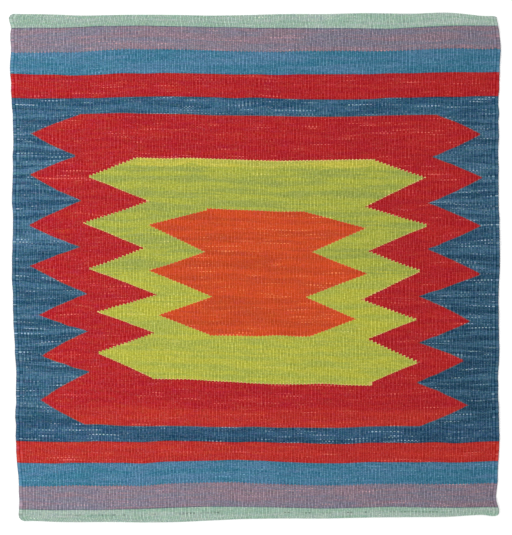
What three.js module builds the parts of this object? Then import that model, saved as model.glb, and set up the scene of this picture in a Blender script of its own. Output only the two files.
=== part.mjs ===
import * as THREE from 'three';
import { mergeVertices } from 'three/addons/utils/BufferGeometryUtils.js';

// A flat-woven wool rug lying on the floor, in millimetres with +Z up.
// Warps run along Y and wefts along X. The origin is on the floor under the middle.

// Driving dimensions: the cloth as woven, its turned-under hems, selvedges and edge nose
const RUG = { width: 1000, length: 1040, thickness: 4 };
const HEM = { depth: 27, layer: 2.6, settle: 22 };
const STITCH_LINE = { fromEnd: 24, dip: 0.8, reach: 4 };
const SELVEDGE = { reach: 9, extra: 0.8 };
const EDGE = { nose: 3, inset: 1.3 };
const CORNER_RADIUS = { topLeft: 8, topRight: 6, bottomLeft: 11, bottomRight: 6.5 };
const WOOL = { color: '#b32d30', roughness: 0.95, metalness: 0 };

// How far each selvedge stands out from half the width, at heights along the rug
const SELVEDGE_LINE = [
  { y: 522, left: 4, right: -4 },
  { y: 511, left: 6, right: -4 },
  { y: 499, left: 3, right: -2 },
  { y: 474, left: 4, right: 1 },
  { y: 449, left: 3, right: 3 },
  { y: 403, left: 4, right: 2 },
  { y: 358, left: 2, right: 0 },
  { y: 290, left: -1, right: 0 },
  { y: 223, left: -1, right: -1 },
  { y: 155, left: 1, right: 0 },
  { y: 87, left: -1, right: 1 },
  { y: 0, left: 1, right: 2 },
  { y: -50, left: -1, right: 0 },
  { y: -116, left: -3, right: 0 },
  { y: -161, left: -5, right: 1 },
  { y: -251, left: -8, right: -2 },
  { y: -297, left: -7, right: 0 },
  { y: -387, left: -9, right: 0 },
  { y: -432, left: -13, right: -2 },
  { y: -485, left: -14, right: -4 },
  { y: -501, left: -14, right: -1 },
  { y: -522, left: -14, right: -2 },
];

// How far each hemmed end stands out from half the length, at places across the rug
const END_LINE = [
  { x: -504, top: 1, bottom: 0 },
  { x: -455, top: 1, bottom: 0 },
  { x: -410, top: 0, bottom: 2 },
  { x: -360, top: -2, bottom: 2.5 },
  { x: -300, top: -1, bottom: 2 },
  { x: -225, top: -0.5, bottom: 3 },
  { x: -155, top: -1, bottom: 2 },
  { x: -90, top: -2, bottom: -1 },
  { x: -20, top: -1, bottom: -4 },
  { x: 50, top: 1, bottom: -5 },
  { x: 140, top: 1, bottom: -5 },
  { x: 225, top: 3, bottom: -7 },
  { x: 320, top: 2, bottom: -8 },
  { x: 405, top: 3.5, bottom: -9 },
  { x: 440, top: 0, bottom: -11.5 },
  { x: 465, top: -2.8, bottom: -12.5 },
  { x: 485, top: -3.5, bottom: -10.5 },
  { x: 504, top: -4, bottom: -11.5 },
];

// Shallow ripples where the wefts have let a selvedge lift off the floor
const RIPPLES = [
  { side: -1, y: 395, half: 52, reach: 60, lift: 1.3 },
  { side: -1, y: 230, half: 46, reach: 75, lift: 1.8 },
  { side: -1, y: 45, half: 55, reach: 60, lift: 1.2 },
  { side: -1, y: -125, half: 50, reach: 80, lift: 2.1 },
  { side: -1, y: -320, half: 56, reach: 70, lift: 1.7 },
  { side: 1, y: 425, half: 50, reach: 65, lift: 1.5 },
  { side: 1, y: 275, half: 44, reach: 60, lift: 1.1 },
  { side: 1, y: 60, half: 58, reach: 85, lift: 2.2 },
  { side: 1, y: -105, half: 48, reach: 60, lift: 1.4 },
  { side: 1, y: -300, half: 55, reach: 80, lift: 2 },
];

// Lines of the cloth's grid, as distances in from an edge, and the even ones between
const NEAR_SELVEDGE = [0, 3.5, 9, 22, 42, 66];
const NEAR_END = [
  0, 3.5, 7, 12, 17, 21, STITCH_LINE.fromEnd, HEM.depth, HEM.depth + 1, 33, 40, HEM.depth + HEM.settle + 2,
];
const EVEN_COLUMNS = 14;
const EVEN_ROWS = 46;

// Grid lines from one edge to the other, close together at both and even between
function gridLines(span, nearEdge, evenCount) {
  const first = nearEdge.at(-1);
  const pitch = (span - 2 * first) / evenCount;
  const between = Array.from({ length: evenCount - 1 }, (_, i) => first + (i + 1) * pitch);
  const farEdge = nearEdge.map((step) => span - step).reverse();
  return [...nearEdge, ...between, ...farEdge];
}

// A smooth curve through one column of a table
function tableCurve(rows, along, column) {
  const sorted = [...rows].sort((a, b) => a[along] - b[along]);
  const places = sorted.map((row) => row[along]);
  const values = sorted.map((row) => row[column]);
  const curve = new THREE.CubicInterpolant(places, values, 1, [0]);
  return (at) => curve.evaluate(THREE.MathUtils.clamp(at, places[0], places.at(-1)))[0];
}

// How far a rounded corner draws a selvedge in, near the end of the rug
function cornerPull(radius, fromEnd) {
  const left = Math.max(radius - fromEnd, 0);
  return radius - Math.sqrt(radius ** 2 - left ** 2);
}

// Share of the half thickness left at a distance from the rounded edge of the cloth
function noseShare(fromEdge) {
  const left = Math.max(1 - fromEdge / EDGE.nose, 0);
  return Math.sqrt(1 - left ** 2);
}

// How high the turned-under layer carries the cloth, settling to the floor past its free edge
function hemRise(fromEnd) {
  return HEM.layer * (1 - THREE.MathUtils.smoothstep(fromEnd, HEM.depth, HEM.depth + HEM.settle));
}

// How deep the hem's stitches draw the face down beside their line
function stitchDip(fromEnd) {
  const away = Math.abs(fromEnd - STITCH_LINE.fromEnd);
  return STITCH_LINE.dip * (1 - THREE.MathUtils.smoothstep(away, 0, STITCH_LINE.reach));
}

// Lift of the rippled selvedges at a place on the rug
function rippleLift(x, y) {
  return RIPPLES.reduce((sum, ripple) => {
    const along = THREE.MathUtils.clamp((y - ripple.y) / ripple.half, -1, 1);
    const inward = RUG.width / 2 - ripple.side * x;
    const fade = 1 - THREE.MathUtils.smoothstep(inward, 0, ripple.reach);
    return sum + ripple.lift * fade * Math.cos(along * Math.PI / 2) ** 2;
  }, 0);
}

const outline = {
  left: tableCurve(SELVEDGE_LINE, 'y', 'left'),
  right: tableCurve(SELVEDGE_LINE, 'y', 'right'),
  top: tableCurve(END_LINE, 'x', 'top'),
  bottom: tableCurve(END_LINE, 'x', 'bottom'),
};

// One point of the cloth: across and along are distances from the left and bottom edges,
// level runs from -1 on the underside through 0 on the edge's nose to 1 on the face
function clothPoint(across, along, level) {
  const inset = Math.abs(level) * EDGE.inset;
  const fromSide = Math.min(across, RUG.width - across);
  const fromEnd = Math.min(along, RUG.length - along);
  const upper = along > RUG.length / 2;
  const leftRadius = upper ? CORNER_RADIUS.topLeft : CORNER_RADIUS.bottomLeft;
  const rightRadius = upper ? CORNER_RADIUS.topRight : CORNER_RADIUS.bottomRight;

  const nominalY = along - RUG.length / 2;
  const left = -RUG.width / 2 - outline.left(nominalY) + cornerPull(leftRadius, fromEnd);
  const right = RUG.width / 2 + outline.right(nominalY) - cornerPull(rightRadius, fromEnd);
  const x = THREE.MathUtils.lerp(left + inset, right - inset, across / RUG.width);

  const bottom = -RUG.length / 2 - outline.bottom(x);
  const top = RUG.length / 2 + outline.top(x);
  const y = THREE.MathUtils.lerp(bottom + inset, top - inset, along / RUG.length);

  const selvedge = SELVEDGE.extra * (1 - THREE.MathUtils.smoothstep(fromSide, 0, SELVEDGE.reach));
  const rise = hemRise(fromEnd);
  const lift = rippleLift(x, y);
  const underside = lift + (fromEnd > HEM.depth ? rise : 0);
  const face = lift + rise + RUG.thickness + selvedge - stitchDip(fromEnd);
  const middle = (underside + face) / 2;
  const share = noseShare(Math.min(fromSide, fromEnd) + inset);
  const z = middle + level * share * (face - underside) / 2;
  return [x, y, z];
}

// The whole woven cloth, hems and selvedges included, as one closed body
function clothGeometry() {
  const columns = gridLines(RUG.width, NEAR_SELVEDGE, EVEN_COLUMNS);
  const rows = gridLines(RUG.length, NEAR_END, EVEN_ROWS);
  const lastColumn = columns.length - 1;
  const lastRow = rows.length - 1;
  const levels = 2;
  const box = new THREE.BoxGeometry(1, 1, 1, lastColumn, lastRow, levels);
  const points = box.attributes.position;
  for (let i = 0; i < points.count; i += 1) {
    const across = columns[Math.round((points.getX(i) + 0.5) * lastColumn)];
    const along = rows[Math.round((points.getY(i) + 0.5) * lastRow)];
    const level = Math.round(points.getZ(i) * levels);
    points.setXYZ(i, ...clothPoint(across, along, level));
  }
  box.deleteAttribute('normal');
  box.deleteAttribute('uv');
  const cloth = mergeVertices(box);
  cloth.computeBoundingBox();
  const centre = cloth.boundingBox.getCenter(new THREE.Vector3());
  cloth.translate(-centre.x, -centre.y, -cloth.boundingBox.min.z);
  cloth.computeVertexNormals();
  return cloth;
}

const cloth = new THREE.Mesh(clothGeometry(), new THREE.MeshStandardMaterial(WOOL));
cloth.name = 'kilim_cloth';

const rug = new THREE.Group();
rug.name = 'kilim_rug';
rug.add(cloth);

export default rug;
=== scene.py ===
import math

import bmesh
import bpy
import numpy as np
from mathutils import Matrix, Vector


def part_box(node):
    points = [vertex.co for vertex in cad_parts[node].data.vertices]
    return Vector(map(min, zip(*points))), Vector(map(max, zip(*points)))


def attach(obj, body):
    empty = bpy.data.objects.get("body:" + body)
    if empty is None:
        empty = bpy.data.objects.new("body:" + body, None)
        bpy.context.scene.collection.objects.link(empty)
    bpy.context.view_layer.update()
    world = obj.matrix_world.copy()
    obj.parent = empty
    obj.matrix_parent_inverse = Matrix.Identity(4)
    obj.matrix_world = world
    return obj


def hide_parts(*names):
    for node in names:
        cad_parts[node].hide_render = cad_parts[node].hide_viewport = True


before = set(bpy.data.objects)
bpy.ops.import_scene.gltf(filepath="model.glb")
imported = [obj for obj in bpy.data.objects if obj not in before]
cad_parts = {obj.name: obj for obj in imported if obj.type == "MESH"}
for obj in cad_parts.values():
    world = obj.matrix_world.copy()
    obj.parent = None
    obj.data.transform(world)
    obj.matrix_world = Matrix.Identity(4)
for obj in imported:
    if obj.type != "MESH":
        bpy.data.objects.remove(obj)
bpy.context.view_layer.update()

# Lengths are in metres and tables in millimetres, from the rug's middle, with +Y along its warps
MM = 0.001
WIDTH = 1.000
LENGTH = 1.040

# Weave: each warp makes one rib, and each pass of weft shows on every second rib
RIBS = 270
WARP = WIDTH / RIBS
PICK = 0.0008
SELVEDGE_CORDS = (0.0078, 0.0066)
SELVEDGE_EXTRA = 0.0008
RIB_RELIEF = 0.0005
RIB_UNEVEN = 0.16

# Cloth and the hems that are turned under at both ends
CLOTH = 0.0040
HEM_LAYER = 0.0033
HEM_GAP = 0.0001
HEM_DEPTH = 0.027
HEM_SETTLE = 0.022
STITCH_LINE = 0.024
STITCH_DIP = 0.0008
STITCH_REACH = 0.004
EDGE_NOSE = 0.0026
EDGE_LEAST = 0.3
CORNER_RADIUS = {"top_left": 0.008, "top_right": 0.006, "bottom_left": 0.014, "bottom_right": 0.0065}

# How far each selvedge stands out from half the width: y, left, right
SELVEDGE_LINE = (
    (522, 4, -4),
    (511, 6, -4),
    (499, 3, -2),
    (474, 4, 1),
    (449, 3, 3),
    (403, 4, 2),
    (358, 2, 0),
    (290, -1, 0),
    (223, -1, -1),
    (155, 1, 0),
    (87, -1, 1),
    (0, 1, 2),
    (-50, -1, 0),
    (-116, -3, 0),
    (-161, -5, 1),
    (-251, -8, -2),
    (-297, -7, 0),
    (-387, -9, 0),
    (-432, -13, -2),
    (-485, -14, -4),
    (-501, -14, -1),
    (-522, -14, -2),
)

# How far each hemmed end stands out from half the length: x, top, bottom
END_LINE = (
    (-504, 1, 0),
    (-455, 1, 0),
    (-410, 0, 2),
    (-360, -2, 2.5),
    (-300, -1, 2),
    (-225, -0.5, 3),
    (-155, -1, 2),
    (-90, -2, -1),
    (-20, -1, -4),
    (50, 1, -5),
    (140, 1, -5),
    (225, 3, -7),
    (320, 2, -8),
    (405, 3.5, -9),
    (440, 0, -11.5),
    (465, -2.8, -12.5),
    (485, -3.5, -10.5),
    (504, -4, -11.5),
)

# How far the wefts stray from level at some heights: y, then the stray at WEFT_PLACES
WEFT_PLACES = (-490, -400, -265, -130, 6, 141, 277, 412, 480)
WEFT_STRAY = (
    (494, -2, -1, 3, 1, -2, -2, -3, 3, 3),
    (446, -4, -3, 4, 2, -2, 0, 1, 5, 4),
    (398, 1, -2, 2, 1, -1, 0, 2, 4, 4),
    (349, 1, -1, 3, 2, 0, -2, 0, 3, 3),
    (315, 0, 0, 3, 0, -3, -4, -2, 0, 0),
    (223, 5, 5, 5, 2, -2, 0, 1, 0, -1),
    (118, 2, 3, 4, 4, 0, -2, -2, 0, 2),
    (0, 0, 0, 0, 0, 0, 0, 0, 0, 0),
    (-139, 1, 2, 2, 0, -1, -2, -3, -3, -3),
    (-234, 8, 8, 7, 3, -5, -6, -8, -4, -2),
    (-326, 8, 6, 1, 0, -2, -3, 1, 1, 2),
    (-358, 1, 0, 0, 2, -1, -4, -2, -2, 0),
    (-400, -1, -1, -2, 3, 4, -2, 1, 0, 2),
    (-445, -5, -3, -4, 3, 2, -3, 1, 0, 2),
    (-494, -2, -3, -2, 3, 3, 0, 3, 2, 3),
)

# Hand beating leaves wefts wavy, warps swaying, selvedges drawn in unevenly and an uneven face
WEFT_WAVE = 0.0015
WAVE_FADE = 0.06
WARP_SWAY = 0.0009
SELVEDGE_WANDER = 0.0011
SELVEDGE_DRAW = 0.0005
SELVEDGE_HELD = 0.03
UNEVEN = 0.0003
BROAD_SHARE = 0.7
FINE_SHARE = 0.3

# Lengths across and along the rug over which that unevenness changes
WEFT_WAVE_CELL = (0.046, 0.07)
WARP_SWAY_CELL = (0.04, 0.11)
SELVEDGE_CELL = (0.05, 0.015)
BROAD_CELL = (0.09, 0.075)
FINE_CELL = (0.03, 0.022)
NOISE_CELLS = 128

# Shallow ripples where the wefts have let a selvedge lift: side, y, half length, reach, lift
RIPPLES = (
    (-1, 395, 52, 60, 1.3),
    (-1, 230, 46, 75, 1.8),
    (-1, 45, 55, 60, 1.2),
    (-1, -125, 50, 80, 2.1),
    (-1, -320, 56, 70, 1.7),
    (1, 425, 50, 65, 1.5),
    (1, 275, 44, 60, 1.1),
    (1, 60, 58, 85, 2.2),
    (1, -105, 48, 60, 1.4),
    (1, -300, 55, 80, 2.0),
)

# Joins between the stripes, from the ends inward: heights, how combed each is and how dark it looks
STRIPE_JOINS = (
    {"top": 494, "bottom": -494, "combed": 0.5, "shade": 0.0},
    {"top": 446, "bottom": -445, "combed": 1.0, "shade": 0.1},
    {"top": 398, "bottom": -400, "combed": 0.15, "shade": 0.25},
    {"top": 349, "bottom": -358, "combed": 0.1, "shade": 0.3},
)

# Nested medallions, outermost first, with their toothed edges from the bottom up as x, y

# bow: how far the edges of the teeth curve outward
# fan: how far wefts are pushed along beside the teeth
# ribs_a_step: how many ribs a step of the edge takes in
# combed: how much the colours comb into each other from rib to rib
# cream: how much cream warp shows just inside and outside the edge
# shade: how dark the edge's slits look on either side
MEDALLIONS = (
    {
        "yarn": "red",
        "bow": 5,
        "fan": 6,
        "ribs_a_step": 1,
        "combed": 0.1,
        "cream_in": 0.05,
        "cream_out": 0.15,
        "shade_in": 0.25,
        "shade_out": 0.1,
        "top": 315,
        "bottom": -326,
        "left": (
            (-342, -326), (-442, -272), (-340, -214), (-440, -182), (-345, -131),
            (-446, -98), (-346, -54), (-464, 4), (-360, 43), (-466, 88),
            (-358, 138), (-464, 192), (-368, 230), (-461, 276), (-361, 315),
        ),
        "right": (
            (336, -326), (435, -283), (330, -236), (429, -191), (334, -154),
            (441, -111), (335, -59), (463, -14), (352, 39), (463, 87),
            (354, 133), (466, 186), (361, 228), (463, 275), (371, 315),
        ),
    },
    {
        "yarn": "lime",
        "bow": -1,
        "fan": 3,
        "ribs_a_step": 2,
        "combed": 0.75,
        "cream_in": 1.1,
        "cream_out": 0.0,
        "shade_in": 0.0,
        "shade_out": 0.28,
        "top": 223,
        "bottom": -234,
        "left": (
            (-214, -226), (-326, -175), (-209, -134), (-326, -91), (-203, -56), (-344, -2),
            (-230, 41), (-354, 93), (-220, 137), (-345, 188), (-245, 227),
        ),
        "right": (
            (237, -236), (335, -195), (231, -147), (332, -107), (219, -66), (341, -7),
            (232, 35), (356, 88), (226, 126), (348, 186), (246, 221),
        ),
    },
    {
        "yarn": "orange",
        "bow": 0,
        "fan": 2,
        "ribs_a_step": 1,
        "combed": 0.7,
        "cream_in": 0.1,
        "cream_out": 0.3,
        "shade_in": 0.0,
        "shade_out": 0.0,
        "top": 118,
        "bottom": -139,
        "left": ((-95, -138), (-199, -98), (-89, -60), (-219, -6), (-104, 33), (-220, 89), (-101, 119)),
        "right": ((113, -141), (206, -106), (103, -61), (229, -13), (116, 33), (226, 82), (100, 116)),
    },
)

# Hand-spun yarns, of which the first five are the stripes from the ends inward

# body, heather, slub: sRGB of the yarn, of the fibre blended into it and of its pale lumps
# heathered, slubbed, flecked: how much of a weft is blended, lumpy and flecked with odd colours
# grain_and_shading: how strongly its bumps' random tones and painted light, and the painted shade in its
# grooves, show
# shade_rightward: how much painted shade darkens it towards the right selvedge, as light falling off away
# from the left
YARNS = (
    {"name": "mint", "body": "9eb0a6", "heather": "8eaa99", "slub": "ccdacb",
     "heathered": 1.0, "slubbed": 0.35, "flecked": 0.07, "grain_and_shading": 0.75, "shade_rightward": 0.0},
    {"name": "lilac", "body": "7e7a8a", "heather": "8d7884", "slub": "c49aa2",
     "heathered": 1.0, "slubbed": 0.65, "flecked": 0.07, "grain_and_shading": 1.0, "shade_rightward": 0.2},
    {"name": "sky", "body": "4f7b9a", "heather": "3a748e", "slub": "74a8c0",
     "heathered": 1.0, "slubbed": 0.6, "flecked": 0.06, "grain_and_shading": 0.98, "shade_rightward": 0.2},
    {"name": "red", "body": "a81723", "heather": "b12121", "slub": "e46a60",
     "heathered": 0.9, "slubbed": 0.65, "flecked": 0.04, "grain_and_shading": 0.5, "shade_rightward": 0.15},
    {"name": "indigo", "body": "3c6580", "heather": "27526d", "slub": "a6c2d2",
     "heathered": 1.0, "slubbed": 0.75, "flecked": 0.13, "grain_and_shading": 0.98, "shade_rightward": 0.2},
    {"name": "pale_indigo", "body": "48708a", "heather": "26506b", "slub": "a6c2d2",
     "heathered": 1.0, "slubbed": 0.75, "flecked": 0.13, "grain_and_shading": 0.98, "shade_rightward": 0.24},
    {"name": "mid_indigo", "body": "416983", "heather": "214c65", "slub": "a6c2d2",
     "heathered": 1.0, "slubbed": 0.75, "flecked": 0.13, "grain_and_shading": 0.98, "shade_rightward": 0.24},
    {"name": "deep_indigo", "body": "355b78", "heather": "234b66", "slub": "a0bccc",
     "heathered": 1.0, "slubbed": 0.75, "flecked": 0.13, "grain_and_shading": 0.98, "shade_rightward": 0.2},
    {"name": "green", "body": "a6ab42", "heather": "949f4b", "slub": "c8c468",
     "heathered": 1.0, "slubbed": 0.5, "flecked": 0.03, "grain_and_shading": 0.75, "shade_rightward": 0.12},
    {"name": "pale_green", "body": "b0b040", "heather": "a1a948", "slub": "ccc868",
     "heathered": 1.0, "slubbed": 0.5, "flecked": 0.03, "grain_and_shading": 0.75, "shade_rightward": 0.12},
    {"name": "lime", "body": "bdb646", "heather": "adae4c", "slub": "d4cc70",
     "heathered": 1.0, "slubbed": 0.5, "flecked": 0.03, "grain_and_shading": 0.85, "shade_rightward": 0.1},
    {"name": "orange", "body": "c3451c", "heather": "b4401c", "slub": "ea8050",
     "heathered": 1.0, "slubbed": 0.75, "flecked": 0.04, "grain_and_shading": 0.28, "shade_rightward": 0.0},
    # The slate entry is no yarn but the colour of painted shade along the join of the mint and the lilac
    {"name": "slate_shade", "body": "66727a", "heather": "56616c", "slub": "8d8a92",
     "heathered": 1.0, "slubbed": 0.0, "flecked": 0.07, "grain_and_shading": 0.8, "shade_rightward": 0.0},
    {"name": "scarlet", "body": "af2825", "heather": "b82e23", "slub": "e0685c",
     "heathered": 0.9, "slubbed": 0.6, "flecked": 0.04, "grain_and_shading": 0.5, "shade_rightward": 0.13},
)

# Yarns are numbered in that order, and numbers closer than this are the same
YARN_NUMBER = {yarn["name"]: number for number, yarn in enumerate(YARNS)}
SAME_NUMBER = 0.1

# Height of the slate line of painted shade between the mint and the lilac stripes, where the hem's stitched
# inner edge leaves a shallow groove
SLATE_SHADE_LINE = 0.0018

# Unbleached cotton warp, glimpsed where two colours meet
WARP_CREAM = "f0c088"

# Painted sheen of loose fibres on the ribs that catch pale light: how much at the left and the right,
# stronger at the left where the window light falls, and how many-hued
FUZZ_SHEEN = (0.034, 0.012)
FUZZ_SHEEN_HUES = 3.0

# How much undyed light comes off the fibres' surface with each bump's brightness
HAZE = 0.09

# New balls of yarn, of other dye lots, begun lower down: ball above, ball below, y
DYE_LOTS = (
    ("red", "scarlet", -290),
    ("indigo", "pale_indigo", 315),
    ("pale_indigo", "mid_indigo", 36),
    ("mid_indigo", "deep_indigo", -322),
    ("lime", "green", 208),
    ("green", "pale_green", -12),
)

# Both balls were in use for a few rows, so the change is streaky over this length
LOT_MIX = 0.03

# Real sizes of the wool's random patterns over the ribs and along them, in millimetres
HEATHER_STREAK = (66.67, 3.3333)
DYE_BAND = (200.0, 13.333)
SLUB_RUN = (100.0, 1.0)
FLECK_MOTTLE = (22.22, 1.1429)
PROUD_PATCH = (33.33, 22.22)
FUZZ_SHEEN_DRIFT = (33.33, 8.333)
TACK_SLACKNESS = (111.1, 111.1)

# A wool fibre, about 0.03 mm thick, is too fine to show, so fibres are drawn as strands this size
FIBRE_STRAND = (1.1111, 0.38462)

# What each random pattern or rib does to the look: its lowest and highest value, and the share at each
HEATHER_SHARE = (0.84, 1.16, 0.0, 1.0)
SLUB_SHARE = (0.0, 0.12, 0.0, 1.0)
SLUBBED_WEFTS = (0.3, 0.6, 0.1, 1.0)
CREAM_GLIMPSED = (0.0, 0.6, 0.4, 1.0)
CREAM_SHEDS = (0.0, 1.0, 1.0, 0.45)
TACK_PULLED = (0.2, 0.7, 0.0, 1.0)
TACK_SLACK = (0.38, 0.55, 0.2, 1.0)
TACK_SHEDS = (0.0, 1.0, 1.0, 0.2)
PROUD_RIB_LIGHT = (0.3, 0.7, -0.13, 0.13)
BUMP_TONES = (0.0, 1.0, 0.85, 1.15)
BUMP_LIGHT = (0.0, 0.7, 0.79, 1.03)
GROOVE_LIGHT = (0.0, 0.8, 0.66, 1.09)
SHEENED_BUMPS = (0.3, 1.0, 0.0, 1.0)

# A slub lies where its pattern passes this, and a lumpier yarn needs less; below the next there is none
SLUB_LEAST = 0.72
SLUB_EASE = -0.12
NO_SLUBS = 0.01

# How flecks mix two random patterns, from bump to bump and in short lengths, and how strongly
SPECKLE_SHARE = 0.4
FLECK_STRENGTH = 3.0

# Painted shade in the grooves keeps this much of its depth on a yarn without grain or shading
GROOVE_LEAST = 0.5

# Relief of the bumps of weft: its height, how round they are, and the fibres' share of it
BUMP_HEIGHT = 0.0004
BUMP_ROUND = 0.5
FIBRE_SHARE = 0.25

# How far colours comb into each other where a join is fully combed
COMB = 0.001

# How far cream warp and shade reach from a join, and how the toothed edges are charted
JOIN_REACH = 0.0022
EDGE_STEPS = 4
EDGE_SLOPE = 0.45
CHART_ROUNDS = 12

# Where a fan of wefts fades outward and inward, and over what length, as shares of a tooth's depth
FAN_OUTER = (0.3, 1.1)
FAN_INNER = (-0.5, 0.8)

# Tacking stitches along the hems, as dents between the ribs painted with shade, pulled tighter and so darker
# at the bottom end
TACK_LINE = 0.0145
TACK_WIDTH = 0.0036
RIBS_A_TACK = 3
TACK_SHADE = (0.5, 0.12)

# Rows of the cloth near a hem, as distances along it from the fold, which is a half round
UNDER_ROWS = (-0.027, -0.014, -0.0045)
FACE_ROWS = (0.007, 0.014, 0.020, 0.024, 0.028, 0.036, 0.048)
FOLD_STEPS = 4
EVEN_ROWS = 60
RIB_STEPS = 2

# The camera looks straight down from where the frame takes in the whole rug
IMAGE_HEIGHT = 535
PIXEL = 0.002053
LENS = 85.0
SENSOR = 36.0
CAMERA_OFFSET = (0.0024, 0.0)

# Floor and lights
FLOOR_HALF = 8.0
FLOOR_GAP = 0.0002
FLOOR_WHITE = "fbfbfb"
ROOM_LIGHT = 1.0
WINDOW_LIGHT = {"place": (-1.3, 0.3, 3.0), "size": 2.6, "power": 38.0}

# Kinds of node
MATH = "ShaderNodeMath"
VECTOR = "ShaderNodeVectorMath"
NOISE = "ShaderNodeTexNoise"
RANDOM = "ShaderNodeTexWhiteNoise"
RANGE = "ShaderNodeMapRange"
PAIR = "ShaderNodeCombineXYZ"
BLEND = "ShaderNodeMix"

# Sockets of a Mix node: its share, its two numbers, and its two colours and their mix
SHARE = 0
NUMBER_A = 2
NUMBER_B = 3
COLOUR_A = 6
COLOUR_B = 7
COLOUR_MIX = 2


def linear(code):
    """Turns an sRGB hex code into a linear colour with full alpha."""
    parts = [int(code[i:i + 2], 16) / 255 for i in (0, 2, 4)]
    return tuple(c / 12.92 if c <= 0.04045 else ((c + 0.055) / 1.055) ** 2.4 for c in parts) + (1.0,)


def smooth(x):
    """Eases from 0 to 1 as x goes from 0 to 1."""
    t = np.clip(x, 0, 1)
    return t * t * (3 - 2 * t)


def soft_noise(seed, across_cell, along_cell):
    """A smooth random surface between -1 and 1, with cells of the given size in metres."""
    values = np.random.default_rng(seed).uniform(-1, 1, (NOISE_CELLS, NOISE_CELLS))

    def surface(x, y):
        column = x / across_cell + NOISE_CELLS / 2
        row = y / along_cell + NOISE_CELLS / 2
        left = np.floor(column).astype(int)
        low = np.floor(row).astype(int)
        over = smooth(column - left)
        up = smooth(row - low)
        near = values[left, low] * (1 - over) + values[left + 1, low] * over
        far = values[left, low + 1] * (1 - over) + values[left + 1, low + 1] * over
        return near * (1 - up) + far * up

    return surface


def table_curve(rows, column):
    """A smooth curve through one column of a table whose first column is the place, in metres."""
    ordered = sorted(rows)
    places = np.array([row[0] for row in ordered]) * MM
    values = np.array([row[column] for row in ordered]) * MM
    slopes = np.gradient(values, places)

    def curve(at):
        inside = np.clip(at, places[0], places[-1])
        span = np.clip(np.searchsorted(places, inside) - 1, 0, len(places) - 2)
        gap = places[span + 1] - places[span]
        t = (inside - places[span]) / gap
        rise = values[span] * (1 + 2 * t) * (1 - t) ** 2 + values[span + 1] * t * t * (3 - 2 * t)
        return rise + gap * (slopes[span] * t * (1 - t) ** 2 - slopes[span + 1] * t * t * (1 - t))

    return curve


left_line = table_curve(SELVEDGE_LINE, 1)
right_line = table_curve(SELVEDGE_LINE, 2)
top_line = table_curve(END_LINE, 1)
bottom_line = table_curve(END_LINE, 2)

STRAY_HEIGHTS = tuple(row[0] * MM for row in reversed(WEFT_STRAY))
stray_curves = [table_curve(tuple(zip(WEFT_PLACES, row[1:])), 1) for row in reversed(WEFT_STRAY)]
weft_wave = soft_noise(11, *WEFT_WAVE_CELL)
warp_sway = soft_noise(12, *WARP_SWAY_CELL)
selvedge_wander = soft_noise(17, *SELVEDGE_CELL)
broad_uneven = soft_noise(13, *BROAD_CELL)
fine_uneven = soft_noise(14, *FINE_CELL)


def weft_fan(x, y):
    """How far wefts are pushed along by the teeth beside them: up over a tooth, and down under it."""
    push = np.zeros_like(x)
    for medallion in MEDALLIONS:
        for side, name in ((-1, "left"), (1, "right")):
            turns = medallion[name][1:-1]
            tip = np.mean([abs(point[0]) for point in turns[0::2]]) * MM
            notch = np.mean([abs(point[0]) for point in turns[1::2]]) * MM
            depth = tip - notch
            reach = (side * x - notch) / depth
            outer = 1 - smooth((reach - FAN_OUTER[0]) / FAN_OUTER[1])
            inner = smooth((reach - FAN_INNER[0]) / FAN_INNER[1])
            phase = np.interp(y, [point[1] * MM for point in turns], np.arange(len(turns)) / 2)
            push += medallion["fan"] * MM * outer * inner * np.sin(2 * math.pi * phase)
    return push


def weft_stray(x, y):
    """How far the weft whose nominal height is y strays from it at x."""
    heights = (-LENGTH / 2, *STRAY_HEIGHTS, LENGTH / 2)
    strays = (-bottom_line(x), *(curve(x) for curve in stray_curves), top_line(x))
    result = np.zeros_like(x)
    for low, high, first, last in zip(heights, heights[1:], strays, strays[1:]):
        share = smooth((y - low) / (high - low))
        within = (y >= low) & (y <= high)
        result = np.where(within, first + (last - first) * share, result)
    result = np.where(y < heights[0], strays[0], result)
    result = np.where(y > heights[-1], strays[-1], result)
    free = smooth((LENGTH / 2 - np.abs(y)) / WAVE_FADE)
    return result + free * (WEFT_WAVE * weft_wave(x, y) + weft_fan(x, y))


def rib_edges():
    """Distances of the ribs' edges from the left selvedge on a rug of plain width."""
    spread = np.random.default_rng(15).uniform(1 - RIB_UNEVEN, 1 + RIB_UNEVEN, RIBS)
    cords = len(SELVEDGE_CORDS)
    inner = spread[cords:-cords]
    spread[cords:-cords] = inner * (WIDTH - 2 * sum(SELVEDGE_CORDS)) / inner.sum()
    spread[:cords] = SELVEDGE_CORDS
    spread[-cords:] = SELVEDGE_CORDS[::-1]
    return np.concatenate(((0,), np.cumsum(spread)))


RIB_EDGES = rib_edges()


def rib_place(rib):
    """Distance of a place on the ribs from the left selvedge on a rug of plain width."""
    return np.interp(rib, np.arange(RIBS + 1), RIB_EDGES)


def corner_pull(radius, from_end):
    """How far a rounded corner draws a selvedge in, near the end of the rug."""
    left = np.clip(radius - from_end, 0, radius)
    return radius - np.sqrt(radius ** 2 - left ** 2)


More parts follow.
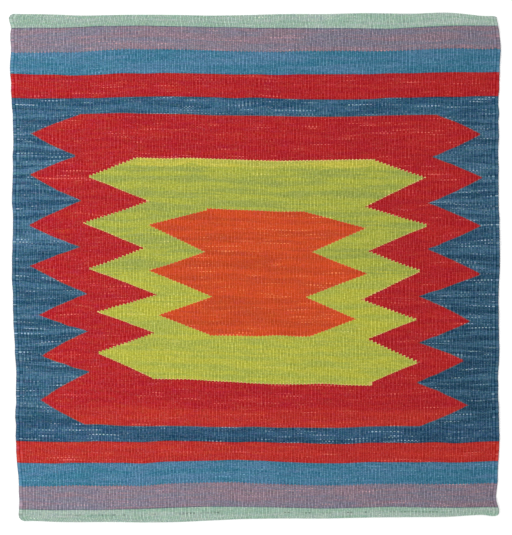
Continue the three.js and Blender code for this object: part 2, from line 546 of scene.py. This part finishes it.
def across(rib, height):
    """The x of a rib's edge at a nominal height on the rug."""
    from_end = np.minimum(height + LENGTH / 2, LENGTH / 2 - height)
    upper = height > 0
    left_radius = np.where(upper, CORNER_RADIUS["top_left"], CORNER_RADIUS["bottom_left"])
    right_radius = np.where(upper, CORNER_RADIUS["top_right"], CORNER_RADIUS["bottom_right"])
    left = -WIDTH / 2 - left_line(height) + corner_pull(left_radius, from_end)
    right = WIDTH / 2 + right_line(height) - corner_pull(right_radius, from_end)
    place = rib_place(rib)
    held = smooth(np.minimum(place, WIDTH - place) / SELVEDGE_HELD)
    outward = np.where(place < WIDTH / 2, -1.0, 1.0)
    drawn = (SELVEDGE_WANDER * selvedge_wander(outward, height) - SELVEDGE_DRAW) * outward * (1 - held)
    return left + (right - left) * place / WIDTH + drawn + WARP_SWAY * held * warp_sway(place, height)


def ripple_lift(x, y):
    """Height of the rippled selvedges above the floor."""
    lift = np.zeros_like(x)
    for side, place, half, reach, height in RIPPLES:
        along = np.clip((y - place * MM) / (half * MM), -1, 1)
        inward = WIDTH / 2 - side * x
        fade = 1 - smooth(inward / (reach * MM))
        lift += height * MM * fade * np.cos(along * math.pi / 2) ** 2
    return lift


def puckers(x, y):
    """Slight unevenness of the whole cloth, never below the floor."""
    return UNEVEN * (1 + BROAD_SHARE * broad_uneven(x, y) + FINE_SHARE * fine_uneven(x, y))


def cloth_rows():
    """Distances along the cloth from the bottom fold, from one hem's free edge to the other's."""
    bend = math.pi * HEM_LAYER / 4
    fold = [bend * (2 * i / FOLD_STEPS - 1) for i in range(FOLD_STEPS + 1)]
    end = [*UNDER_ROWS, *fold, *FACE_ROWS]
    first = end[-1]
    pitch = (LENGTH - 2 * first) / (EVEN_ROWS + 1)
    between = [first + (i + 1) * pitch for i in range(EVEN_ROWS)]
    return np.array([*end, *between, *[LENGTH - row for row in reversed(end)]])


def place_cloth(rib, row, face):
    """Points of the cloth: rib counts warps, row is a length along the cloth, face is 1 or -1."""
    outward = np.where(row < LENGTH / 2, -1.0, 1.0)
    from_fold = np.minimum(row, LENGTH - row)
    squeeze = STITCH_DIP / 2 * (1 - smooth(np.abs(np.abs(from_fold) - STITCH_LINE) / STITCH_REACH))
    settled = smooth((from_fold - HEM_DEPTH) / HEM_SETTLE)
    layer = HEM_LAYER - squeeze + (CLOTH - HEM_LAYER) * settled

    bend = HEM_LAYER / 2
    angle = np.clip(from_fold / bend, -math.pi / 2, math.pi / 2)
    straight = np.maximum(np.abs(from_fold) - bend * math.pi / 2, 0)
    inward = HEM_LAYER / 2 + bend * (1 - np.cos(angle)) + straight
    resting = layer / 2
    folded = layer + HEM_GAP / 2 + (layer + HEM_GAP) / 2 * np.sin(angle)
    middle = folded + (resting - folded) * settled * (from_fold > 0)

    level = np.where(outward < 0, inward, LENGTH - inward) - LENGTH / 2
    x = across(rib, level)
    y = level + weft_stray(x, level)

    crest = np.where(rib > np.floor(rib), 1.0, 0.0)
    from_side = np.minimum(rib_place(rib), WIDTH - rib_place(rib))
    cord = SELVEDGE_EXTRA * (1 - smooth(from_side / sum(SELVEDGE_CORDS) - 0.5))
    nose = np.clip(1 - from_side / EDGE_NOSE, 0, 1)
    rounded = EDGE_LEAST + (1 - EDGE_LEAST) * np.sqrt(1 - nose ** 2)
    thick = (layer + cord - 2 * RIB_RELIEF * (1 - crest)) * rounded

    lift = ripple_lift(x, y) + puckers(x, y)
    y = y + face * thick / 2 * np.cos(angle) * outward
    z = middle + cord / 2 + lift + face * thick / 2 * np.sin(angle)
    return np.stack((x, y, z), axis=1)


def new_cloth():
    """The woven cloth as one closed sheet, with its weave coordinates as a UV map."""
    rows = cloth_rows()
    columns = RIBS * RIB_STEPS
    last_row = len(rows) - 1
    plate = bmesh.new()
    # A flat plate of the right faces, whose points are then moved to their places on the cloth
    bmesh.ops.create_grid(plate, x_segments=columns, y_segments=last_row, size=0.5)
    bmesh.ops.solidify(plate, geom=plate.faces[:], thickness=0.1)
    bmesh.ops.recalc_face_normals(plate, faces=plate.faces[:])
    mesh = bpy.data.meshes.new("kilim_weave")
    plate.to_mesh(mesh)
    plate.free()

    flat = np.empty(len(mesh.vertices) * 3)
    mesh.vertices.foreach_get("co", flat)
    flat = flat.reshape(-1, 3)
    rib = np.rint((flat[:, 0] + 0.5) * columns) / RIB_STEPS
    row = rows[np.rint((flat[:, 1] + 0.5) * last_row).astype(int)]
    face = np.where(flat[:, 2] > flat[:, 2].mean(), 1.0, -1.0)
    points = place_cloth(rib, row, face)
    low, high = (np.array(corner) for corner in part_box("kilim_cloth"))
    middle = (points.min(axis=0) + points.max(axis=0)) / 2
    points[:, :2] += ((low + high) / 2 - middle)[:2]
    mesh.vertices.foreach_set("co", points.ravel())

    corners = np.empty(len(mesh.loops), dtype=int)
    mesh.loops.foreach_get("vertex_index", corners)
    weave = np.stack((rib * WARP, row), axis=1)[corners]
    layer = mesh.uv_layers.new(name="weave")
    layer.uv.foreach_set("vector", weave.ravel())
    mesh.polygons.foreach_set("use_smooth", [True] * len(mesh.polygons))
    mesh.update()
    cloth = bpy.data.objects.new("kilim_weave", mesh)
    bpy.context.scene.collection.objects.link(cloth)
    return cloth


def add(tree, kind, inputs, **settings):
    """Adds a node with its settings, and fills or links its input sockets by name or number."""
    made = tree.nodes.new(kind)
    for name, value in settings.items():
        setattr(made, name, value)
    for socket, value in (inputs.items() if isinstance(inputs, dict) else enumerate(inputs)):
        if isinstance(value, bpy.types.Node):
            value = value.outputs[0]
        if isinstance(value, bpy.types.NodeSocket):
            tree.links.new(value, made.inputs[socket])
        else:
            made.inputs[socket].default_value = value
    return made


def chart_places(x, y):
    """Weave coordinates of charted points in millimetres: distances over the ribs, and along the cloth."""
    x = x * MM
    y = y * MM
    level = y
    for _ in range(CHART_ROUNDS):
        level = y - weft_stray(x, level)
    ribs = np.arange(RIBS + 1)
    lines = [across(ribs, np.full(RIBS + 1, height)) for height in level]
    over = [np.interp(place, line, ribs) for place, line in zip(x, lines)]
    return np.array(over) * WARP, level + LENGTH / 2


def toothed_edge(tree, height, points, bow):
    """Where a medallion's toothed edge lies, over the ribs, at the height of a bump of weft."""
    steps = np.linspace(0, len(points) - 1, (len(points) - 1) * EDGE_STEPS + 1)
    x, y = (np.interp(steps, np.arange(len(points)), column) for column in zip(*points))
    x = x + bow * np.sin(math.pi * (steps % 1)) * np.sign(x)
    over, along = chart_places(x, y)
    low = float(along[0])
    high = float(along[-1])
    edge = add(tree, "ShaderNodeFloatCurve", {"Value": add(tree, RANGE, (height, low, high, 0.0, 1.0))})
    curve = edge.mapping.curves[0]
    stops = [((a - low) / (high - low), o / WIDTH) for o, a in zip(over, along)]
    curve.points[0].location = stops[0]
    curve.points[-1].location = stops[-1]
    for stop in stops[1:-1]:
        curve.points.new(*stop)
    for stop in curve.points:
        stop.handle_type = "VECTOR"
    edge.mapping.update()
    return add(tree, MATH, (edge, WIDTH), operation="MULTIPLY")


def yarn_ramp(tree, number, column):
    """A colour or share of each yarn, looked up by the yarn's number."""
    share = add(tree, MATH, (number, 0.5), operation="ADD")
    place = add(tree, MATH, (share, len(YARNS)), operation="DIVIDE")
    ramp = add(tree, "ShaderNodeValToRGB", (place,))
    ramp.color_ramp.interpolation = "CONSTANT"
    stops = ramp.color_ramp.elements
    while len(stops) < len(YARNS):
        stops.new(0.5)
    for index, yarn in enumerate(YARNS):
        value = yarn[column]
        stops[index].position = index / len(YARNS)
        stops[index].color = linear(value) if isinstance(value, str) else (value, value, value, 1.0)
    return ramp


def streaks(tree, over, along, size, detail=1.0):
    """Soft noise over the weave, in patches of a size in millimetres over the ribs and along them."""
    column = add(tree, MATH, (over, size[0] * MM), operation="DIVIDE")
    row = add(tree, MATH, (along, size[1] * MM), operation="DIVIDE")
    place = add(tree, PAIR, (column, row))
    return add(tree, NOISE, {"Vector": place, "Scale": 1.0, "Detail": detail}, noise_dimensions="2D")


def yarn_number(tree, single_step, twin_steps, along, comb, streak):
    """Which yarn shows at a place, how much cream warp shows beside it, and how shaded it is by a slit."""
    passed = []
    shade = 0.0
    for end, test in (("bottom", "GREATER_THAN"), ("top", "LESS_THAN")):
        count = 0.0
        for join in STRIPE_JOINS:
            height = add(tree, MATH, (comb, join["combed"], along), operation="MULTIPLY_ADD")
            away = add(tree, MATH, (height, join[end] * MM + LENGTH / 2), operation="SUBTRACT")
            step = add(tree, MATH, (away, 0.0), operation=test)
            count = add(tree, MATH, (count, step), operation="ADD")
            apart = add(tree, MATH, (away,), operation="ABSOLUTE")
            dark = add(tree, RANGE, (apart, 0.0, JOIN_REACH, join["shade"], 0.0))
            shade = add(tree, MATH, (shade, dark), operation="MAXIMUM")
        passed.append(count)
    number = add(tree, MATH, passed, operation="MINIMUM")

    # A thin slate line of painted shade lies along each join of the mint and the lilac
    for end in ("bottom", "top"):
        away = add(tree, MATH, (along, STRIPE_JOINS[0][end] * MM + LENGTH / 2), operation="SUBTRACT")
        near = add(tree, MATH, (away, 0.0, SLATE_SHADE_LINE / 2), operation="COMPARE")
        slate_shade = float(YARN_NUMBER["slate_shade"])
        number = add(tree, BLEND, {SHARE: near, NUMBER_A: number, NUMBER_B: slate_shade})

    cream = 0.0
    for medallion in MEDALLIONS:
        left_over, right_over = twin_steps if medallion["ribs_a_step"] == 2 else (single_step, single_step)
        height = add(tree, MATH, (comb, medallion["combed"], along), operation="MULTIPLY_ADD")
        left = toothed_edge(tree, height, medallion["left"], medallion["bow"])
        right = toothed_edge(tree, height, medallion["right"], medallion["bow"])
        from_left = add(tree, MATH, (left_over, left), operation="SUBTRACT")
        from_right = add(tree, MATH, (right, right_over), operation="SUBTRACT")
        from_side = add(tree, MATH, (from_left, from_right), operation="MINIMUM")
        from_side = add(tree, MATH, (from_side, EDGE_SLOPE), operation="MULTIPLY")
        from_top = add(tree, MATH, (medallion["top"] * MM + LENGTH / 2, height), operation="SUBTRACT")
        from_bottom = add(tree, MATH, (height, medallion["bottom"] * MM + LENGTH / 2), operation="SUBTRACT")
        from_end = add(tree, MATH, (from_top, from_bottom), operation="MINIMUM")
        depth = add(tree, MATH, (from_side, from_end), operation="MINIMUM")
        apart = add(tree, MATH, (depth,), operation="ABSOLUTE")
        inside = add(tree, MATH, (depth, 0.0), operation="GREATER_THAN")
        outside = add(tree, MATH, (1.0, inside), operation="SUBTRACT")
        yarn = float(YARN_NUMBER[medallion["yarn"]])
        number = add(tree, BLEND, {SHARE: inside, NUMBER_A: number, NUMBER_B: yarn})
        sides = ((inside, "cream_in", "shade_in"), (outside, "cream_out", "shade_out"))
        for here, cream_side, shade_side in sides:
            seen = add(tree, RANGE, (apart, 0.0, JOIN_REACH, medallion[cream_side], 0.0))
            seen = add(tree, MATH, (seen, here), operation="MULTIPLY")
            cream = add(tree, MATH, (cream, seen), operation="MAXIMUM")
            dark = add(tree, RANGE, (apart, 0.0, JOIN_REACH, medallion[shade_side], 0.0))
            dark = add(tree, MATH, (dark, here), operation="MULTIPLY")
            shade = add(tree, MATH, (shade, dark), operation="MAXIMUM")

    uneven = add(tree, MATH, (streak, 0.5), operation="SUBTRACT")
    mixed = add(tree, MATH, (uneven, LOT_MIX, along), operation="MULTIPLY_ADD")
    for first, second, limit in DYE_LOTS:
        used = add(tree, MATH, (number, float(YARN_NUMBER[first]), SAME_NUMBER), operation="COMPARE")
        below = add(tree, MATH, (mixed, limit * MM + LENGTH / 2), operation="LESS_THAN")
        changed = add(tree, MATH, (used, below), operation="MULTIPLY")
        number = add(tree, BLEND, {SHARE: changed, NUMBER_A: number, NUMBER_B: float(YARN_NUMBER[second])})
    return number, cream, shade


def wool_material():
    """Hand-spun wool weft beaten over cotton warps: matt, ribbed, streaky along each weft, with slubs."""
    material = bpy.data.materials.new("hand_woven_wool")
    material.use_nodes = True
    tree = material.node_tree
    tree.nodes.clear()
    weave = add(tree, "ShaderNodeUVMap", (), uv_map="weave")
    place = add(tree, "ShaderNodeSeparateXYZ", (weave,))
    over = place.outputs["X"]
    along = place.outputs["Y"]

    # The bump of weft at this point: its rib, its pass of weft and its middle
    ribs = add(tree, MATH, (over, WARP), operation="DIVIDE")
    rib = add(tree, MATH, (ribs,), operation="FLOOR")
    in_rib = add(tree, MATH, (ribs,), operation="FRACT")
    shed = add(tree, MATH, (rib, 2.0), operation="FLOORED_MODULO")
    picks = add(tree, MATH, (along, PICK), operation="DIVIDE")
    pairs = add(tree, MATH, (picks, shed), operation="SUBTRACT")
    pairs = add(tree, MATH, (pairs, 0.5), operation="MULTIPLY")
    pair = add(tree, MATH, (pairs,), operation="FLOOR")
    in_bump = add(tree, MATH, (pairs,), operation="FRACT")
    pick = add(tree, MATH, (pair, 2.0, shed), operation="MULTIPLY_ADD")
    level = add(tree, MATH, (pick, PICK), operation="MULTIPLY")

    # A toothed edge steps by one rib, or by two that are paired the other way on its right
    single_step = add(tree, MATH, (rib, WARP, WARP / 2), operation="MULTIPLY_ADD")
    twin_steps = []
    for shift, middle in ((0.0, WARP), (0.5, 0.0)):
        half = add(tree, MATH, (rib, 0.5, shift), operation="MULTIPLY_ADD")
        twin = add(tree, MATH, (half,), operation="FLOOR")
        twin_steps.append(add(tree, MATH, (twin, 2 * WARP, middle), operation="MULTIPLY_ADD"))

    # Neighbouring ribs show alternate passes of weft, so two colours comb into each other at a join
    half_turn = add(tree, MATH, (in_rib, math.pi), operation="MULTIPLY")
    rise = add(tree, MATH, (half_turn,), operation="SINE")
    lower = add(tree, MATH, (shed, 2.0, -1.0), operation="MULTIPLY_ADD")
    comb = add(tree, MATH, (lower, rise), operation="MULTIPLY")
    comb = add(tree, MATH, (comb, COMB), operation="MULTIPLY")
    streak = streaks(tree, over, level, HEATHER_STREAK, 2.0)
    number, cream, shade = yarn_number(tree, single_step, twin_steps, along, comb, streak)
    yarn = {column: yarn_ramp(tree, number, column) for column in YARNS[0] if column != "name"}

    # Broad bands of another dye lot, and shorter streaks along a few wefts
    band = streaks(tree, over, along, DYE_BAND)
    mixed = add(tree, MATH, (band, streak), operation="ADD")
    mixed = add(tree, RANGE, (mixed, *HEATHER_SHARE))
    mixed = add(tree, MATH, (mixed, yarn["heathered"]), operation="MULTIPLY")
    blend = {SHARE: mixed, COLOUR_A: yarn["body"], COLOUR_B: yarn["heather"]}
    tone = add(tree, BLEND, blend, data_type="RGBA").outputs[COLOUR_MIX]

    # Pale slubs lie in a few wefts for some way, and show as a dotted line
    gate = add(tree, RANDOM, {"W": pick}, noise_dimensions="1D")
    shifted = add(tree, MATH, (over, gate), operation="ADD")
    run = streaks(tree, shifted, level, SLUB_RUN, 3.0)
    least = add(tree, MATH, (yarn["slubbed"], SLUB_EASE, SLUB_LEAST), operation="MULTIPLY_ADD")
    run = add(tree, MATH, (run, least), operation="SUBTRACT")
    shown = add(tree, MATH, (yarn["slubbed"], NO_SLUBS), operation="GREATER_THAN")
    for source, share in ((run, SLUB_SHARE), (gate, SLUBBED_WEFTS)):
        factor = add(tree, RANGE, (source, *share))
        shown = add(tree, MATH, (shown, factor), operation="MULTIPLY")
    blend = {SHARE: shown, COLOUR_A: tone, COLOUR_B: yarn["slub"]}
    tone = add(tree, BLEND, blend, data_type="RGBA").outputs[COLOUR_MIX]

    # Fibres of odd colours are carded in, in short mottled lengths and from bump to bump
    bump_at = add(tree, PAIR, (rib, pick))
    speckle = add(tree, RANDOM, {"Vector": bump_at}, noise_dimensions="2D")
    mottle = streaks(tree, over, level, FLECK_MOTTLE, 2.0)
    flecks = (speckle.outputs["Color"], (SPECKLE_SHARE,) * 3, mottle.outputs["Color"])
    middle = -(SPECKLE_SHARE + 1) / 2
    odd = add(tree, VECTOR, flecks, operation="MULTIPLY_ADD")
    odd = add(tree, VECTOR, (odd, (middle,) * 3), operation="ADD")
    odd = add(tree, VECTOR, (odd, yarn["flecked"]), operation="MULTIPLY")
    hue = add(tree, VECTOR, (odd, (FLECK_STRENGTH,) * 3, (1.0, 1.0, 1.0)), operation="MULTIPLY_ADD")
    tone = add(tree, VECTOR, (tone, hue), operation="MULTIPLY")

    # Cream warp glimpsed where two colours meet
    seen_at = add(tree, PAIR, (pick, rib))
    seen = add(tree, RANDOM, {"Vector": seen_at}, noise_dimensions="2D")
    glimpse = cream
    for source, share in ((seen, CREAM_GLIMPSED), (shed, CREAM_SHEDS)):
        factor = add(tree, RANGE, (source, *share))
        glimpse = add(tree, MATH, (glimpse, factor), operation="MULTIPLY")
    blend = {SHARE: glimpse, COLOUR_A: tone, COLOUR_B: linear(WARP_CREAM)}
    tone = add(tree, BLEND, blend, data_type="RGBA").outputs[COLOUR_MIX]

    # A row of tacking stitches through each hem pulls in short dents, darkened with painted shade
    from_top = add(tree, MATH, (LENGTH, along), operation="SUBTRACT")
    from_end = add(tree, MATH, (along, from_top), operation="MINIMUM")
    tack = add(tree, MATH, (rib, RIBS_A_TACK), operation="DIVIDE")
    tack = add(tree, MATH, (tack,), operation="FLOOR")
    tack_pull = add(tree, RANDOM, {"W": tack}, noise_dimensions="1D")
    slack = streaks(tree, over, 0.0, TACK_SLACKNESS)
    dent_shade = add(tree, MATH, (from_end, TACK_LINE, TACK_WIDTH / 2), operation="COMPARE")
    for source, share in (
        (tack_pull, TACK_PULLED),
        (slack, TACK_SLACK),
        (shed, TACK_SHEDS),
        (along, (0.0, LENGTH, *TACK_SHADE)),
    ):
        factor = add(tree, RANGE, (source, *share))
        dent_shade = add(tree, MATH, (dent_shade, factor), operation="MULTIPLY")

    # Each bump takes the light a little differently
    half_turn = add(tree, MATH, (in_bump, math.pi), operation="MULTIPLY")
    swell = add(tree, MATH, (half_turn,), operation="SINE")
    bump_tone = add(tree, RANGE, (speckle, *BUMP_TONES))
    bumps = add(tree, RANGE, (swell, *BUMP_LIGHT))
    bumps = add(tree, MATH, (bumps, bump_tone), operation="MULTIPLY")
    bumps = add(tree, MATH, (bumps, yarn["grain_and_shading"]), operation="POWER")

    # Every other rib stands prouder in patches, as the two sheds are never equally tight, and is painted
    # with more light where it stands prouder and with shade where it sinks
    patch = streaks(tree, over, along, PROUD_PATCH)
    proud_light = add(tree, RANGE, (patch, *PROUD_RIB_LIGHT))
    proud_rib_light = add(tree, MATH, (lower, proud_light, 1.0), operation="MULTIPLY_ADD")

    # Painted shade darkens the grooves between ribs
    groove_shade = add(tree, RANGE, (rise, *GROOVE_LIGHT))
    groove_shade = add(tree, MATH, (groove_shade, proud_rib_light), operation="MULTIPLY")
    groove_shade_depth = add(tree, MATH, (yarn["grain_and_shading"], 1 - GROOVE_LEAST, GROOVE_LEAST), operation="MULTIPLY_ADD")
    groove_shade = add(tree, MATH, (groove_shade, groove_shade_depth), operation="POWER")
    light = add(tree, MATH, (bumps, groove_shade), operation="MULTIPLY")
    haze = add(tree, MATH, (light, HAZE, -HAZE), operation="MULTIPLY_ADD")

    # Painted shade darkens it towards the right selvedge, and painted shade at slits and in dents takes some
    # of the light away
    rightward = add(tree, MATH, (over, WIDTH), operation="DIVIDE")
    rightward_shade = add(tree, MATH, (rightward, yarn["shade_rightward"]), operation="MULTIPLY")
    for dark in (rightward_shade, shade, dent_shade):
        left = add(tree, MATH, (1.0, dark), operation="SUBTRACT")
        light = add(tree, MATH, (light, left), operation="MULTIPLY")

    # Painted sheen: loose fibres on top of the ribs catch a pale, faintly many-hued light, more on the left
    fuzz_sheen = add(tree, RANGE, (over, 0.0, WIDTH, *FUZZ_SHEEN))
    sheened = add(tree, RANGE, (seen, *SHEENED_BUMPS))
    for share in (sheened, rise):
        fuzz_sheen = add(tree, MATH, (fuzz_sheen, share), operation="MULTIPLY")
    haze = add(tree, MATH, (fuzz_sheen, 1 - FUZZ_SHEEN_HUES / 2, haze), operation="MULTIPLY_ADD")
    sheen_drift = streaks(tree, over, along, FUZZ_SHEEN_DRIFT)
    hues = add(tree, MATH, (fuzz_sheen, FUZZ_SHEEN_HUES), operation="MULTIPLY")
    haze = add(tree, VECTOR, (sheen_drift.outputs["Color"], hues, haze), operation="MULTIPLY_ADD")
    colour = add(tree, VECTOR, (tone, light, haze), operation="MULTIPLY_ADD")
    colour = add(tree, VECTOR, (colour, (0.0, 0.0, 0.0)), operation="MAXIMUM")

    # Bumps of weft stand out of each rib, with twisted fibres on them
    fibre = streaks(tree, over, along, FIBRE_STRAND, 2.0)
    relief = add(tree, MATH, (swell, BUMP_ROUND), operation="POWER")
    relief = add(tree, MATH, (relief, rise), operation="MULTIPLY")
    relief = add(tree, MATH, (fibre, FIBRE_SHARE, relief), operation="MULTIPLY_ADD")
    raised = add(tree, "ShaderNodeBump", {"Strength": 1.0, "Distance": BUMP_HEIGHT, "Height": relief})

    wool = add(tree, "ShaderNodeBsdfPrincipled", {
        "Base Color": colour,
        "Roughness": 0.95,
        "IOR": 1.5,
        "Specular IOR Level": 0.1,
        "Sheen Weight": 0.05,
        "Sheen Roughness": 0.6,
        "Normal": raised,
    })
    add(tree, "ShaderNodeOutputMaterial", {"Surface": wool})
    return material


def floor_material():
    """Matt white paint, rolled on: pale and even."""
    material = bpy.data.materials.new("matt_white_paint")
    material.use_nodes = True
    tree = material.node_tree
    tree.nodes.clear()
    paint = add(tree, "ShaderNodeBsdfPrincipled", {
        "Base Color": linear(FLOOR_WHITE),
        "Roughness": 0.9,
        "Specular IOR Level": 0.1,
    })
    add(tree, "ShaderNodeOutputMaterial", {"Surface": paint})
    return material


def add_floor():
    """A plain pale floor under the rug."""
    sheet = bmesh.new()
    bmesh.ops.create_grid(sheet, x_segments=1, y_segments=1, size=FLOOR_HALF)
    bmesh.ops.translate(sheet, verts=sheet.verts[:], vec=(0.0, 0.0, -FLOOR_GAP))
    mesh = bpy.data.meshes.new("floor")
    sheet.to_mesh(mesh)
    sheet.free()
    floor = bpy.data.objects.new("floor", mesh)
    floor.data.materials.append(floor_material())
    bpy.context.scene.collection.objects.link(floor)
    return floor


def add_window_light():
    """A soft square light from the left that faces the middle of the rug."""
    lamp = bpy.data.lights.new("window_light", "AREA")
    lamp.size = WINDOW_LIGHT["size"]
    lamp.energy = WINDOW_LIGHT["power"]
    light = bpy.data.objects.new("window_light", lamp)
    light.location = WINDOW_LIGHT["place"]
    toward = -light.location
    light.rotation_euler = toward.to_track_quat("-Z", "Y").to_euler()
    bpy.context.scene.collection.objects.link(light)


def light_room():
    """Even light from all round, with a soft window light from the left."""
    world = bpy.data.worlds.new("pale_room")
    world.use_nodes = True
    back = world.node_tree.nodes["Background"]
    back.inputs["Color"].default_value = (1.0, 1.0, 1.0, 1.0)
    back.inputs["Strength"].default_value = ROOM_LIGHT
    bpy.context.scene.world = world
    add_window_light()
    bpy.context.scene.view_settings.view_transform = "Standard"


def add_camera():
    """A camera straight above the rug, with the long side of the frame across its sensor."""
    lens = bpy.data.cameras.new("camera")
    lens.lens = LENS
    lens.sensor_width = SENSOR
    camera = bpy.data.objects.new("camera", lens)
    height = IMAGE_HEIGHT * PIXEL * LENS / SENSOR
    camera.location = (CAMERA_OFFSET[0], CAMERA_OFFSET[1], height + CLOTH)
    bpy.context.scene.collection.objects.link(camera)
    bpy.context.scene.camera = camera


add_camera()
light_room()
floor = add_floor()

rug = new_cloth()
rug.data.materials.append(wool_material())
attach(rug, "root")
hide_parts("kilim_cloth")
